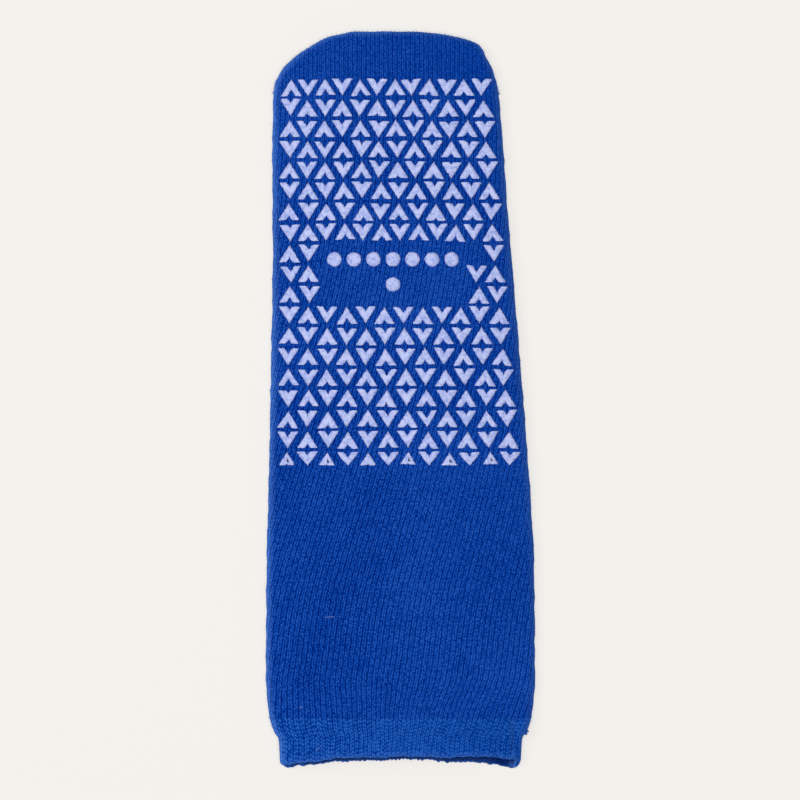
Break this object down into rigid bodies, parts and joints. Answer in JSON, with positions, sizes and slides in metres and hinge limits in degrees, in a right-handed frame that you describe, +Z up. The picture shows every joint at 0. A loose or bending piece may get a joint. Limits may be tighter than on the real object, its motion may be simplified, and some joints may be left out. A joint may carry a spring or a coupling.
{
  "type": "slipper sock",
  "caption": "Tube-knit slipper sock lying flat and empty, with a turned cuff welt, a linked toe seam underneath and raised rubber grip marks on both faces.",
  "frame": {"origin": "on the floor under the middle of the sock's bounding box, as it lies flat on its sole", "axes": "+Y along the sock from the cuff to the toe, +X to the right seen from above with the toe up, +Z up out of the upper face"},
  "size_m": [0.116, 0.3166, 0.0161],
  "materials": {
    "terry_knit": "matt royal blue plain-face terry knit",
    "welt_knit": "matt royal blue elastic welt, finer and a little lighter than the leg",
    "linking_thread": "matt royal blue thread",
    "grip_rubber": "soft satin pale lilac-blue raised print"
  },
  "bodies": {
    "root": {"sock_tube": "terry_knit", "cuff_welt": "welt_knit", "toe_seam": "linking_thread"}
  },
  "joints": []
}
